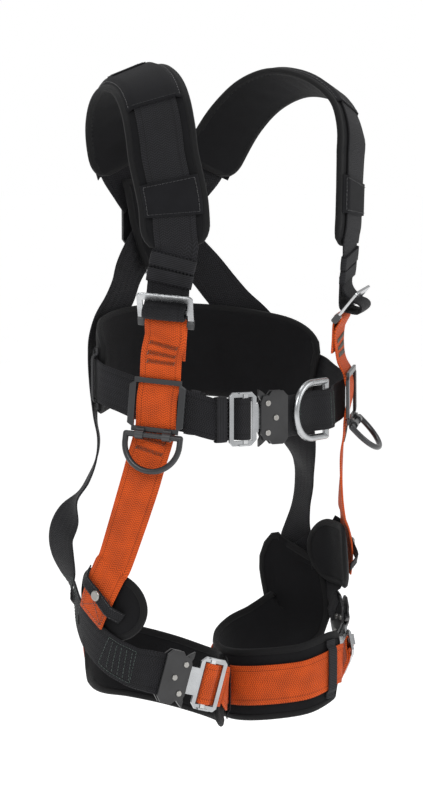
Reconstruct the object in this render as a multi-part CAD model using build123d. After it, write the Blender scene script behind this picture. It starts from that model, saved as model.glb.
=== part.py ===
"""Full-body safety harness with a work-positioning belt, in its worn shape.

Millimetres. +Z up, -Y is the wearer's front, +X is the wearer's left. The origin is the centre of the waist.
Soft parts follow a plain trunk-and-thighs form that is only a guide and isn't part of the object.
"""

from build123d import *
from math import cos, exp, radians, sin, sqrt
import os

os.makedirs("parts", exist_ok=True)

# ---- driving dimensions -------------------------------------------------------------------------
WEB_W = 45.0  # webbing width
WEB_T = 2.0  # webbing thickness
SHOULDER_PAD_W = 72.0
SHOULDER_PAD_T = 9.0
LEG_PAD_W = 80.0
LEG_PAD_T = 7.0
LUMBAR_PAD_H = 105.0
LUMBAR_PAD_T = 9.0
HIP_PAD_R = 40.0
HIP_PAD_T = 6.0

TRUNK = [  # height, half width, half depth, centre behind the axis
    (-300, 150, 104, 6),
    (-200, 156, 110, 6),
    (-100, 147, 102, 3),
    (0, 134, 95, 0),
    (110, 142, 104, 0),
    (210, 160, 117, 2),
    (300, 172, 112, 8),
]
THIGH_X, THIGH_Y, THIGH_R = 80.0, 2.0, 66.0  # thigh axis and radius at THIGH_Z
THIGH_Z, THIGH_TAPER = -330.0, 0.06

# quick-connect buckle, in its own frame: x towards the receiver, y across the strap, z outwards
RECEIVER_L, RECEIVER_W, PLATE_T = 33.0, 58.0, 2.5
PLATE_Z = 2.1  # inner face of each receiver plate, from the tongue's mid plane
TONGUE_T, TONGUE_W, TONGUE_L = 3.0, 23.0, 14.5
FRAME_L, FRAME_W, FRAME_BAR = 33.0, 58.0, 5.0
SLIDER_L, SLIDER_LOW, SLIDER_TOP = 8.0, -1.8, 2.6
RIVET_R = 2.2
BELT_NECK, LEG_NECK = 4.0, 12.0
NECK_W = 30.0
SLOT_X, SLOT_L = 23.0, 5.0  # the receiver's webbing slot; the bar behind it carries the strap
LEVER_X, LEVER_Y = 8.0, 16.0  # lever pivot, which is also a rivet
RUN_CLEARANCE = 0.1

# side frame and rings
SIDE_W, SIDE_STEP_W, SIDE_H, SIDE_T = 62.0, 52.0, 58.0, 3.5
SIDE_RING_R, SIDE_RING_W, SIDE_RING_D = 3.2, 60.0, 38.0
SIDE_PIVOT_Y, SIDE_PIVOT_Z = -32.0, 6.4
LUG_L, LUG_X, LUG_WALL = 9.0, 15.0, 1.8
VENTRAL_R, VENTRAL_W, VENTRAL_D = 3.7, 61.0, 57.0
DORSAL_R, DORSAL_W, DORSAL_D = 4.5, 56.0, 60.0
DORSAL_PLATE_W, DORSAL_PLATE_H, DORSAL_PLATE_T = 96.0, 84.0, 4.0
DORSAL_PIVOT_Z = 10.7

# shoulder adjuster
ADJUSTER_TILT = 40.0
ADJUSTER_W, ADJUSTER_L, ADJUSTER_T = 60.0, 40.0, 3.0
LOWER_BAR_R = 3.0

# places: angles are round the trunk from the front, positive to the wearer's left
BELT_BUCKLE_ANGLE = -6.0
VENTRAL_ANGLE = 36.0
SIDE_ANGLE, SIDE_Z = 55.5, 11.0
HIP_ANGLE = 82.0
HIP_Z = {"right": -209.0, "left": -182.0}
SIDE_SIGN = {"right": -1, "left": 1}
RING_REST_TILT = {"right": 9.0, "left": 44.0}  # how far each side ring stands out from hanging straight
LEFT_STAND_OFF = 14.0  # the belt stands off the left of the waist


# ---- the guide form -----------------------------------------------------------------------------
def eased(table, z):
    """The table's columns at height z, eased from row to row."""
    z = min(max(z, table[0][0]), table[-1][0])
    for low, high in zip(table, table[1:]):
        if z <= high[0]:
            t = (z - low[0]) / (high[0] - low[0])
            t = t * t * (3 - 2 * t)
            return [a + (b - a) * t for a, b in zip(low[1:], high[1:])]


def trunk(angle, z, off=0.0):
    """A station on the trunk: a point off its surface, and the outward normal there."""
    a, b, c = eased(TRUNK, z)
    t = radians(angle)
    normal = Vector(sin(t) / a, -cos(t) / b, 0).normalized()
    return Vector(a * sin(t), c - b * cos(t), z) + normal * off, normal


def thigh(side, angle, z, off=0.0):
    """The same on a thigh. Angle is from the front, positive towards the wearer's left."""
    r = THIGH_R + THIGH_TAPER * (z - THIGH_Z)
    t = radians(angle)
    normal = Vector(sin(t), -cos(t), 0)
    return Vector(SIDE_SIGN[side] * THIGH_X, THIGH_Y, z) + normal * (r + off), normal


def belt_height(angle):
    """The belt sits lowest in front and rises towards the back."""
    t = radians(angle)
    return -5 + 30 * (1 - cos(t)) - 3 * sin(t)


def spline(rows, per_span):
    """Catmull-Rom through rows of numbers, with per_span steps from one row to the next."""
    rows = [tuple(r) for r in rows]
    ends = [tuple(2 * a - b for a, b in zip(rows[0], rows[1]))] + rows
    ends.append(tuple(2 * a - b for a, b in zip(rows[-1], rows[-2])))
    out = []
    for i in range(1, len(ends) - 2):
        p0, p1, p2, p3 = ends[i - 1 : i + 3]
        for k in range(per_span):
            t = k / per_span
            out.append(
                tuple(
                    0.5 * (2 * b + (c - a) * t + (2 * a - 5 * b + 4 * c - d) * t * t + (3 * b - a - 3 * c + d) * t**3)
                    for a, b, c, d in zip(p0, p1, p2, p3)
                )
            )
    return out + [rows[-1]]


def free_path(points, per_span=4):
    """Stations through hand-set (point, normal) pairs."""
    rows = [(*tuple(p), *tuple(n)) for p, n in points]
    return [(Vector(*r[:3]), Vector(*r[3:]).normalized()) for r in spline(rows, per_span)]


def mirrored(points, side):
    """(point, normal) pairs set for the wearer's left, moved to the side asked for."""
    s = SIDE_SIGN[side]
    return [(Vector(s * x, y, z), Vector(s * nx, ny, nz)) for (x, y, z), (nx, ny, nz) in points]


# ---- soft solids --------------------------------------------------------------------------------
def frames(stations):
    """Each station with its tangent and its side direction."""
    out = []
    for i, (p, n) in enumerate(stations):
        before, after = stations[max(i - 1, 0)][0], stations[min(i + 1, len(stations) - 1)][0]
        tangent = (after - before).normalized()
        side = tangent.cross(n).normalized()
        out.append((p, side.cross(tangent).normalized(), tangent, side))
    return out


def ribbon(stations, width=WEB_W, thickness=WEB_T, lift=0.0, shift=0.0):
    """A strap or pad along stations. Width is a number or a function of the share of the length."""
    wires = []
    last = len(stations) - 1
    for i, (p, n, _, side) in enumerate(frames(stations)):
        half = (width(i / last) if callable(width) else width) / 2
        mid = p + n * lift + side * shift
        corners = [mid + side * (a * half) + n * (b * thickness / 2) for a, b in ((-1, -1), (1, -1), (1, 1), (-1, 1))]
        wires.append(Wire.make_polygon(corners, close=True))
    return Solid.make_loft(wires, ruled=True)


def draped_pad(rows, thickness, off):
    """A pad bent to the trunk, lofted through level sections: (height, middle angle, half angle) each."""
    wires = []
    for z, middle, half in rows:
        row = [trunk(middle + half * k / 5, z, off) for k in range(-5, 6)]
        inner = [p - n * (thickness / 2) for p, n in row]
        outer = [p + n * (thickness / 2) for p, n in row]
        wires.append(Wire.make_polygon(inner + outer[::-1], close=True))
    return Solid.make_loft(wires, ruled=True)


def rounded_ends(width, length, radius, end_share=0.45):
    """A width function that rounds a pad's two ends."""

    def at(t):
        near = min(t, 1 - t) * length
        if near >= radius:
            return width
        return width * (end_share + (1 - end_share) * sqrt(max(0.0, 1 - (1 - near / radius) ** 2)))

    return at


def path_length(stations):
    return sum((b[0] - a[0]).length for a, b in zip(stations, stations[1:]))


def station_plane(stations, index):
    """A plane on a path: x along it, z outwards."""
    p, n, tangent, _ = frames(stations)[index]
    return Plane(origin=p, x_dir=tangent, z_dir=n)


def keeper(length, inner_t, centre_z=0.0, wall=1.6, inner_w=WEB_W + 1.0):
    """A closed elastic or plastic loop round flat webbing, in its station's plane."""
    outer = Box(length, inner_w + 2 * wall, inner_t + 2 * wall)
    outer = fillet(outer.edges().filter_by(Axis.X), wall)
    return Pos(0, 0, centre_z) * (outer - Box(length + 2, inner_w, inner_t))


# ---- hardware -----------------------------------------------------------------------------------
def plate(points, thickness, z, edge=0.5):
    """A flat plate of that outline, from z up, with its edges broken."""
    body = Pos(0, 0, z) * extrude(make_face(Polyline(*points, close=True)), thickness)
    return fillet(body.edges().filter_by(Plane.XY), edge) if edge else body


def both_sides(top):
    """An outline from its upper half."""
    return top + [(x, -y) for x, y in reversed(top)]


def cross_bar(x, y, z, radius, length):
    """A cylinder along x."""
    return Pos(x, y, z) * (Rot(0, 90, 0) * Cylinder(radius, length))


def hole(x, y, radius):
    return Pos(x, y, 0) * Cylinder(radius, 60)


RECEIVER_RIVETS = [(LEVER_X, LEVER_Y), (LEVER_X, -LEVER_Y), (18.0, 0.0)]


def receiver_plate(z):
    """One of the receiver's two plates, with cut corners and room for the levers' ears at the mouth."""
    h = RECEIVER_W / 2
    top = [(0, 17), (3, 24), (10, 24.5), (14, h), (RECEIVER_L - 6, h), (RECEIVER_L, h - 6)]
    body = plate(both_sides(top), PLATE_T, z)
    for x, y in RECEIVER_RIVETS:
        body -= hole(x, y, RIVET_R + RUN_CLEARANCE)
    return body


def receiver_base():
    slot = Pos(SLOT_X + SLOT_L / 2, 0, 0) * Box(SLOT_L, WEB_W + 2, 60)
    return receiver_plate(-PLATE_Z - PLATE_T) - slot


def receiver_rivets():
    out = []
    face = PLATE_Z + PLATE_T + 0.1
    for x, y in RECEIVER_RIVETS:
        shank = hole(x, y, RIVET_R) & Box(200, 200, 2 * face + 1)
        head = Pos(x, y, face + 0.7) * Cylinder(RIVET_R + 1.0, 1.4)
        head = fillet(head.edges().sort_by(Axis.Z)[-1], 0.9)
        foot = Pos(x, y, -face - 0.5) * Cylinder(RIVET_R + 1.0, 1.0)
        out.append(shank + head + foot)
    return out


def lever(sign):
    """A release lever between the plates, with a pointed ear at the mouth and a tail towards the spring."""
    outline = [
        (-1.5, 31), (-1.5, 24), (3, 15), (6, 12.6), (11, 12.6), (17, 15), (20.4, 18.2), (19, 21.5), (11, 21), (3, 28),
    ]
    thickness = 2 * PLATE_Z - 0.6
    body = plate([(x, sign * y) for x, y in outline], thickness, -thickness / 2, edge=0.3)
    return body - hole(LEVER_X, sign * LEVER_Y, RIVET_R + RUN_CLEARANCE)


def lever_spring():
    """A zigzag wire spring that draws the two levers' tails together."""
    turns, reach, x, wire = 8, 16.0, 21.3, 0.45
    step = 2 * reach / turns
    line = [Vector(x + (0.8 if k % 2 else -0.2), -reach + k * step, 0) for k in range(turns + 1)]
    body = Pos(*tuple(line[0])) * Sphere(wire)
    for a, b in zip(line, line[1:]):
        body += Solid.make_cylinder(wire, (b - a).length, Plane(origin=a, z_dir=b - a))
        body += Pos(*tuple(b)) * Sphere(wire)
    return body


def tongue(neck):
    """The insert in one piece: tongue, neck and webbing frame, with posts that keep the slider bar in line."""
    half, h, near, far = TONGUE_W / 2, FRAME_W / 2, -neck, -neck - FRAME_L
    blade = [(near - 1, half), (4, half), (5.5, half - 2), (8, half - 2), (9, half), (12, half), (TONGUE_L, half - 4)]
    body = plate(both_sides(blade), TONGUE_T, -TONGUE_T / 2, edge=0.4)
    shoulder = [(near - 1, NECK_W / 2), (-1.8, NECK_W / 2)]
    body += plate(both_sides(shoulder), TONGUE_T, -TONGUE_T / 2, edge=0)
    rim = [(far, h - 4), (far + 4, h), (near - 6, h), (near, h - 6)]
    body += plate(both_sides(rim), TONGUE_T, -TONGUE_T / 2)
    window_l = FRAME_L - 2 * FRAME_BAR
    body -= Pos((near + far) / 2, 0, 0) * Box(window_l, WEB_W + 2, 60)
    for sign in (-1, 1):
        body += Pos(slider_x(neck) - 1.5, sign * (h - 0.9), 2) * Box(13, 1.8, 4)
    return body


def slider_x(neck):
    return -neck - FRAME_BAR - 9.0


def slider_bar(neck):
    """The clamping bar that the webbing wraps, with thin end tabs that ride on the frame's side rails."""
    height = SLIDER_TOP - SLIDER_LOW
    bar = Pos(slider_x(neck), 0, (SLIDER_TOP + SLIDER_LOW) / 2) * Box(SLIDER_L, WEB_W + 1.2, height)
    bar = fillet(bar.edges().filter_by(Axis.Y), 1.4)
    tab = Pos(slider_x(neck), 0, SLIDER_TOP - 0.4) * Box(SLIDER_L - 3, FRAME_W - 4.4, 0.8)
    return bar + tab


def strip(points, width=WEB_W, thickness=WEB_T):
    """Flat strap whose side view follows x, z points, as one solid centred on y = 0."""
    up, low = [], []
    for i, (x, z) in enumerate(points):
        (xa, za), (xb, zb) = points[max(i - 1, 0)], points[min(i + 1, len(points) - 1)]
        d = sqrt((xb - xa) ** 2 + (zb - za) ** 2)
        nx, nz = -(zb - za) / d * thickness / 2, (xb - xa) / d * thickness / 2
        up.append((x + nx, z + nz))
        low.append((x - nx, z - nz))
    side = Plane.XZ.offset(-width / 2)
    face = make_face(side * Polyline(*(up + low[::-1]), close=True))
    return extrude(face, width, dir=(0, -1, 0))


def bridge(width, low, high):
    """An elastic loop over flat webbing, sewn down beyond both of its edges; x runs across the webbing."""
    reach = WEB_W / 2
    half = [(reach + 11, low), (reach + 4.6, low), (reach + 2.8, (low + high) / 2), (reach - 0.2, high)]
    return strip([(-x, z) for x, z in half] + half[::-1], width, 1.2)


def frame_loop(neck, droop=0.0, tail=8.0):
    """The strap's end: in under the frame's end bar, over the slider bar and back out below itself."""
    incoming = [(-41 - tail + 8, -2.9 - droop), (-33.5, -2.9), (-29, -2.9), (-25.2, -2.8), (-22.2, 0.3), (-20, 3.0)]
    over = [(-17.5, 3.9), (-11, 3.9), (-9.2, 3.2), (-8.5, 1.5), (-8.5, -0.8), (-9.3, -2.6)]
    back = [(-12, -3.9), (-16, -4.5), (-22, -5.3), (-29, -5.4), (-33.5, -5.4), (-41 - tail + 8, -5.4 - droop)]
    return strip([(x - neck, z) for x, z in incoming + over + back])


def ring(radius, width, depth):
    """A D ring: its straight bar on the x axis, its bow towards -y."""
    h = width / 2
    leg = depth - h
    path = Line((-h, 0), (-h, -leg)) + CenterArc((0, -leg), h, 180, 180) + Line((h, -leg), (h, 0))
    bow = sweep(Plane(origin=(-h, 0, 0), z_dir=(0, -1, 0)) * Circle(radius), path=path)
    body = bow + cross_bar(0, 0, 0, radius, width)
    for s in (-1, 1):
        body += Pos(s * h, 0, 0) * Sphere(radius)
    return body


def lugs(body, y, z, radius):
    """Two tubes for a ring's straight bar, on feet that reach down into the plate."""
    for x in (-LUG_X, LUG_X):
        body += cross_bar(x, y, z, radius + LUG_WALL, LUG_L)
        body += Pos(x, y + 3.5, z / 2) * Box(LUG_L, 7, z)
    return body - cross_bar(0, y, z, radius + RUN_CLEARANCE, 4 * LUG_X)


def side_frame():
    """Stepped steel frame: the side strap threads its window over the belt, the ring hangs in its lugs."""
    w, s, h = SIDE_W / 2, SIDE_STEP_W / 2, SIDE_H / 2
    half = both_sides([(s, h), (s, h - 5), (w, h - 8)])
    body = plate(half + [(-x, y) for x, y in reversed(half)], SIDE_T, 0, edge=0.9)
    body -= Box(WEB_W + 2.4, SIDE_H - 11, 60)
    return lugs(body, SIDE_PIVOT_Y, SIDE_PIVOT_Z, SIDE_RING_R)


def dorsal_plate():
    """Moulded plate over the straps' crossing, with four strap slots and lugs for the ring."""
    w, h = DORSAL_PLATE_W / 2, DORSAL_PLATE_H / 2
    half = both_sides([(w * 0.66, h), (w, h * 0.5)])
    body = plate(half + [(-x, y) for x, y in reversed(half)], DORSAL_PLATE_T, 0, edge=1.2)
    for x in (-1, 1):
        for y in (-1, 1):
            body -= Pos(x * 17, y * (h - 8), 0) * Box(24, 5, 60)
    return lugs(body, 0, DORSAL_PIVOT_Z, DORSAL_R)


def adjuster_frame():
    """The plate that the shoulder strap threads: top bar, middle bar and two arms. Its pivot is the x axis."""
    low = 6.0
    body = Pos(0, (low + ADJUSTER_L) / 2, 0) * Box(ADJUSTER_W, ADJUSTER_L - low, ADJUSTER_T)
    body = fillet(body.edges().filter_by(Axis.Z).group_by(Axis.Y)[-1], 5)
    body = fillet(body.edges().filter_by(Plane.XY), 0.8)
    body -= Pos(0, 21 + 5.5, 0) * Box(WEB_W + 3, 11, 20)
    body -= Pos(0, 7.0, 0) * Box(WEB_W + 3, 15, 20)
    return body


def adjuster_lower_bar():
    """Dark bar through the side strap's upper loop, with an end block under each arm of the frame."""
    body = cross_bar(0, 0, 0, LOWER_BAR_R, WEB_W + 4)
    for s in (-1, 1):
        block = Pos(s * (WEB_W / 2 + 4.25), 0.5, 0) * Box(6.5, 10.8, 7)
        body += fillet(block.edges().filter_by(Axis.X), 2.2)
    return body


# ---- write-out ----------------------------------------------------------------------------------
def place(where, *shapes):
    """Shapes moved from a plane's or a location's own frame into the harness."""
    spot = where.location if isinstance(where, Plane) else where
    return [spot * shape for shape in shapes]


def write(name, shapes):
    solids = [solid for shape in shapes for solid in shape.solids()]
    export_step(Compound(children=solids) if len(solids) > 1 else solids[0], f"parts/{name}.step")


shared = {}


def share(name, *shapes):
    """Identical or paired pieces on the same body are collected, and written as one node."""
    shared.setdefault(name, []).extend(shapes)


def write_buckle(prefix, plane, neck, droop, tail):
    """All of one quick-connect buckle and the end of the strap that its slider bar clamps."""
    share("receiver_bases", *place(plane, receiver_base()))
    share("receiver_covers", *place(plane, receiver_plate(PLATE_Z)))
    share("buckle_rivets", *place(plane, *receiver_rivets()))
    share("lever_springs", *place(plane, lever_spring()))
    write(f"{prefix}_lever_upper", place(plane, lever(1)))
    write(f"{prefix}_lever_lower", place(plane, lever(-1)))
    write(f"{prefix}_tongue", place(plane, tongue(neck)))
    write(f"{prefix}_slider_bar", place(plane, slider_bar(neck)))
    write(f"{prefix}_strap_end", place(plane, frame_loop(neck, droop, tail)))


def receiver_strap(plane):
    """(point, normal) pairs from a strap's sewn end, round the receiver's rear bar and away on top."""
    rows = [
        (39, -7.6, 0, -1), (36, -6.6, 0, -1), (30, -6.2, 0, -1), (26.4, -5.2, -0.7, -0.7), (25.6, -3.3, -1, 0),
        (26.6, -1.4, -0.7, 0.7), (30, -0.5, 0, 1), (34, -1.0, 0.2, 1), (39, -3.2, 0.4, 1), (44, -5.4, 0.4, 1),
    ]
    out = []
    for x, z, nx, nz in rows:
        point = plane.origin + plane.x_dir * x + plane.z_dir * z
        out.append((point, (plane.x_dir * nx + plane.z_dir * nz).normalized()))
    return out


# ---- belt ---------------------------------------------------------------------------------------
def swell(angle, centre, spread):
    """A smooth bump of height 1 at that centre."""
    return exp(-(((angle - centre) / spread) ** 2))


def belt_off(angle):
    """How far the belt webbing's mid plane stands off the trunk: it lies on the lumbar pad behind."""
    behind = min(max((abs(angle) - 78) / 16, 0.0), 1.0)
    return 3 + 9.4 * behind + LEFT_STAND_OFF * swell(angle, 62, 24) * (1 - behind)


def belt_point(angle, off):
    folded = (angle + 180) % 360 - 180
    return trunk(angle, belt_height(angle), off + belt_off(folded))


def belt_plane():
    point, normal = trunk(BELT_BUCKLE_ANGLE, belt_height(BELT_BUCKLE_ANGLE), 8.0)
    return Plane(origin=point, x_dir=Vector(0, 0, 1).cross(normal), z_dir=normal)


def ventral_plane():
    """The ring's bar stands upright behind the belt webbing; its bow lies on the belt towards the buckle."""
    bar, _ = belt_point(VENTRAL_ANGLE, 3.6)
    bow, _ = belt_point(VENTRAL_ANGLE - 24, 10.6)
    flat = (bar - bow).normalized()
    return Plane(origin=bar, x_dir=(0, 0, -1), z_dir=Vector(0, 0, -1).cross(flat))


def make_belt():
    plane = belt_plane()
    points = receiver_strap(plane)
    around = [(19, 0.8), (24, 0.2), (28, 1.2), (31, 5.2), (34, 9.2), (38, 9.2), (41, 5.2), (45, 0.8)]
    points += [belt_point(angle, extra) for angle, extra in around]
    points += [belt_point(angle, 0) for angle in range(50, 320, 5)]
    points += [belt_point(angle, extra) for angle, extra in ((322, 0), (325, 0.6), (327.2, 1.3))]
    route = free_path(points, 1)
    write("belt_webbing", [ribbon(route)])
    pad = free_path([belt_point(angle, -7.0) for angle in range(98, 263, 6)], 1)
    pad_width = rounded_ends(LUMBAR_PAD_H, path_length(pad), 60, 0.5)
    write("lumbar_pad", [ribbon(pad, pad_width, LUMBAR_PAD_T)])
    write_buckle("belt", plane, BELT_NECK, 0.0, 5.5)
    write("belt_keeper", place(plane.location * Pos(-45.2, 0, 0), keeper(12.5, 5.4, -4.15)))
    write("belt_sleeve", place(station_plane(route, -3), keeper(10, 4.2, wall=1.0)))
    write("ventral_ring", place(ventral_plane(), ring(VENTRAL_R, VENTRAL_W, VENTRAL_D)))
    for angle in (-102.5, 102.5):
        point, normal = belt_point(angle, 0)
        upright = Plane(origin=point, x_dir=(0, 0, 1), z_dir=normal)
        share("lumbar_loops", *place(upright, bridge(12, -1.2, 3.6)))


# ---- shoulders ----------------------------------------------------------------------------------
PAD_LIFT = 5.5  # a shoulder pad's mid plane over the trunk
WEB_LIFT = 6.3  # the webbing's mid plane over the pad's

SHOULDER = [  # over the top and down the back, set for the left: point, outward normal
    ((121, -65, 327), (0.57, -0.71, 0.41)),
    ((116, -41, 347), (0.48, -0.52, 0.71)),
    ((109, -8, 358), (0.40, -0.16, 0.90)),
    ((102, 28, 359), (0.34, 0.20, 0.92)),
    ((93, 66, 346), (0.27, 0.60, 0.75)),
    ((83, 96, 321), (0.21, 0.86, 0.47)),
    ((72, 114, 291), (0.16, 0.97, 0.16)),
    ((60, 121, 262), (0.12, 0.99, 0.02)),
]


def shoulder_route(side):
    """From the chest over the shoulder to the back, PAD_LIFT off the trunk."""
    s = SIDE_SIGN[side]
    rows = [trunk(s * (42.5 + (z - 178) * 0.012), z, PAD_LIFT) for z in (178, 200, 225, 250, 275, 300)]
    return rows + mirrored(SHOULDER, side)


def strap_top(side):
    """The shoulder webbing's last stretch: from the pad's lower end down to just above the adjuster."""
    s = SIDE_SIGN[side]
    return [trunk(s * angle, z, off) for angle, z, off in ((47.6, 140, 12.4), (46.6, 148, 12.3), (44.6, 164, 12.1))]


def adjuster_plane(side):
    """x runs up the strap from the lower bar, z outwards."""
    s = SIDE_SIGN[side]
    low, normal = trunk(s * 49.6, 100, 9.0)
    high, _ = trunk(s * 47.6, 140, 9.0)
    return Plane(origin=low, x_dir=high - low, z_dir=normal)


def make_shoulder(side):
    pad = free_path(shoulder_route(side), 2)
    length = path_length(pad)
    write(f"{side}_shoulder_pad", [ribbon(pad, rounded_ends(SHOULDER_PAD_W, length, 26), SHOULDER_PAD_T)])
    over = [(p + n * WEB_LIFT, n) for p, n in free_path(shoulder_route(side), 2)]
    tail = mirrored([((44, 130.6, 242), (0.08, 1, 0)), ((31, 131.6, 226), (0.05, 1, 0))], side)
    webbing = free_path(strap_top(side) + free_path(over, 1) + tail, 1)
    write(f"{side}_shoulder_webbing", [ribbon(webbing)])
    for station in (1, 2):
        share("shoulder_keepers", *place(station_plane(webbing, station), keeper(13.5, 3.4)))
    share("pad_sleeves", ribbon(over[12:27], 50, 1.2, 2.1))
    share("pad_tabs", ribbon(over[3:7], 60, 1.2, 2.1))
    share("shoulder_loops", ribbon(over[17:19], 40, 1.0, 3.6))
    plane = adjuster_plane(side)
    tilt = plane.location * Rot(0, -ADJUSTER_TILT, 0) * Rot(0, 0, -90)
    write(f"{side}_adjuster_frame", [tilt * adjuster_frame()])
    write(f"{side}_adjuster_lower_bar", [tilt * adjuster_lower_bar()])
    bight = [
        (36.6, 3.7), (33.5, 4.1), (27.5, 7.5), (23, 12.4), (19.9, 16.7), (18.0, 22.5), (14.5, 26.4), (10, 26.2),
        (6.6, 22.5), (6.4, 17), (7.4, 11), (7.9, 6.8), (9.6, 3.2), (14, 1.2), (22, 0.6), (36.6, 0.2),
    ]
    write(f"{side}_adjuster_webbing", place(plane, strip(bight)))


# ---- side straps, side frames and rings ---------------------------------------------------------
def side_strap_route(side):
    """From its sewn end, up round the adjuster's lower bar, down over the belt and on to the hip pad."""
    s, plane, hip = SIDE_SIGN[side], adjuster_plane(side), HIP_Z[side]
    loop = [
        (-40, -4.4, 0, -1), (-24, -4.4, 0, -1), (-10, -4.6, 0, -1), (-3.4, -4.2, -0.4, -1), (1.8, -3.9, 0.5, -0.85),
        (4.5, 0, 1, 0), (2.4, 3.9, 0.5, 0.85), (-2.4, 4.2, -0.3, 1), (-9, 1.0, -0.4, 1), (-16, -1.2, -0.1, 1),
    ]
    points = []
    for x, z, nx, nz in loop:
        normal = (plane.x_dir * nx + plane.z_dir * nz).normalized()
        points.append((plane.origin + plane.x_dir * x + plane.z_dir * z, normal))
    stand = LEFT_STAND_OFF if side == "left" else 0.0
    mid = [
        (52.4, 66, 7.6, 0.05), (53.4, 50, 6.6, 0.4), (54.0, 38, 5.8, 1), (54.6, 30, 7.6, 1), (55.3, 20, 10.4, 1),
        (55.9, 6, 10.6, 1), (56.4, -6, 8.2, 1), (56.9, -16, 6.0, 1), (58.2, -30, 5.4, 0.85), (60.2, -52, 5.2, 0.35),
        (62.8, -82, 5.2, 0.05),
    ]
    points += [trunk(s * angle, z, off + stand * part) for angle, z, off, part in mid]
    low = [(-9.5, 54, 6.6), (-7.5, 42, 9.6), (-4.6, 25, 11.8), (-2.0, 12, 12.6), (0.6, 1, 13.0), (4.2, -14, 13.4)]
    points += [trunk(s * (HIP_ANGLE + da), hip + dz, off) for da, dz, off in low]
    return free_path(points, 2)


def side_plane(side):
    """y runs up the side strap, z outwards."""
    s = SIDE_SIGN[side]
    stand = LEFT_STAND_OFF if side == "left" else 0.0
    point, normal = trunk(s * SIDE_ANGLE, SIDE_Z, 10.0 + stand)
    up = trunk(s * (SIDE_ANGLE - 0.6), SIDE_Z + 14, 10.0 + stand)[0] - point
    up = (up - normal * up.dot(normal)).normalized()
    return Plane(origin=point, x_dir=up.cross(normal), z_dir=normal)


def ring_place(side):
    """Where the side ring sits, tilted out from its frame about the ring's straight bar."""
    return side_plane(side).location * Pos(0, SIDE_PIVOT_Y, SIDE_PIVOT_Z) * Rot(-RING_REST_TILT[side], 0, 0)


def make_side(side):
    write(f"{side}_side_strap", [ribbon(side_strap_route(side))])
    share("side_frames", *place(side_plane(side), side_frame()))
    write(f"{side}_side_ring", place(ring_place(side), ring(SIDE_RING_R, SIDE_RING_W, SIDE_RING_D)))


# ---- back ---------------------------------------------------------------------------------------
def dorsal_frame():
    point, normal = trunk(180, 203, 15.2)
    return Plane(origin=point, x_dir=Vector(0, 0, 1).cross(normal), z_dir=normal)


def make_back():
    plane = dorsal_frame()
    write("dorsal_plate", place(plane, dorsal_plate()))
    write("dorsal_ring", place(plane.location * Pos(0, 0, DORSAL_PIVOT_Z), ring(DORSAL_R, DORSAL_W, DORSAL_D)))
    yoke = [(z, 180, 12 + (z - 150) * 0.075) for z in (150, 165, 180, 195, 210, 225, 240, 250)]
    write("yoke_pad", [draped_pad(yoke, SHOULDER_PAD_T, PAD_LIFT)])


def make_back_strap(side):
    """From the dorsal plate down over the belt, out in a slack loop behind the hip, to the hip pad."""
    s, hip = SIDE_SIGN[side], HIP_Z[side]
    rows = [
        (172, 180, 12.4), (166, 162, 12.4), (160, 144, 12.2), (154, 124, 10), (147, 104, 10.5), (138, 84, 14.2),
        (131, 64, 17.2), (126, 46, 17.4), (122, 26, 17.4), (118.5, 6, 16.4), (115, -14, 13.4), (113, -34, 7),
        (112, -55, 5),
    ]
    if side == "right":
        rows += [(112.5, -76, 9), (114, -98, 20)]
    low = [(33, 88, 30), (34, 66, 36), (35, 44, 32), (36, 22, 24), (36, 4, 18.6), (34, -10, 17.8)]
    points = [trunk(s * angle, z, off) for angle, z, off in rows]
    turns = (34, 42, 42, 30, 8, 0)  # the slack loop turns its face towards the front
    for (da, dz, off), turn in zip(low, turns):
        point, normal = trunk(s * (HIP_ANGLE + da), hip + dz, off)
        points.append((point, normal.rotate(Axis.Z, -s * turn)))
    write(f"{side}_back_strap", [ribbon(free_path(points, 2))])


# ---- hips and legs ------------------------------------------------------------------------------
def leg_plane(side):
    """The right buckle sits on the front of the thigh, the left one on its outer side and steeper."""
    s = SIDE_SIGN[side]
    angle, z, slope = (3, -289, 17) if side == "right" else (69, -275, 50)
    middle, normal = thigh(side, s * angle, z, 9.0)
    outward = Vector(0, 0, 1).cross(normal) * s
    x_dir = outward * cos(radians(slope)) + Vector(0, 0, 1) * sin(radians(slope))
    return Plane(origin=middle + x_dir * 6, x_dir=x_dir, z_dir=normal)


LEG_START = {"right": (-40, -304), "left": (37, -299)}


def band_rows(side):
    """Angle and height of the leg band, from the buckle frame round the inside of the thigh to the hip."""
    begin = LEG_START[side][0]
    rows = [(28, -298), (8, -303), (-14, -309)] if side == "left" else []
    rows = [LEG_START[side]] + rows + [(-50, -314), (-80, -318), (-110, -317), (-140, -310), (-170, -300)]
    return rows + [(-198, -290), (-218, -276), (-232, -258)]


def leg_band(side, off):
    s, hip = SIDE_SIGN[side], HIP_Z[side]
    points = [thigh(side, s * angle, z, off) for angle, z in band_rows(side)]
    return points + [trunk(s * (HIP_ANGLE + 37), hip - 22, off), trunk(s * (HIP_ANGLE + 33), hip - 2, off)]


def hip_pad(s, hip):
    """A rounded pad that follows the hip."""
    tall, reach, steps = HIP_PAD_R - 3, 27, 8
    rows = []
    for k in range(-steps, steps + 1):
        half = reach * (0.3 + 0.7 * sqrt(1 - (k / steps) ** 2))
        rows.append((hip + tall * k / steps, s * HIP_ANGLE, half))
    return draped_pad(rows, HIP_PAD_T, 4.0)


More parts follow.
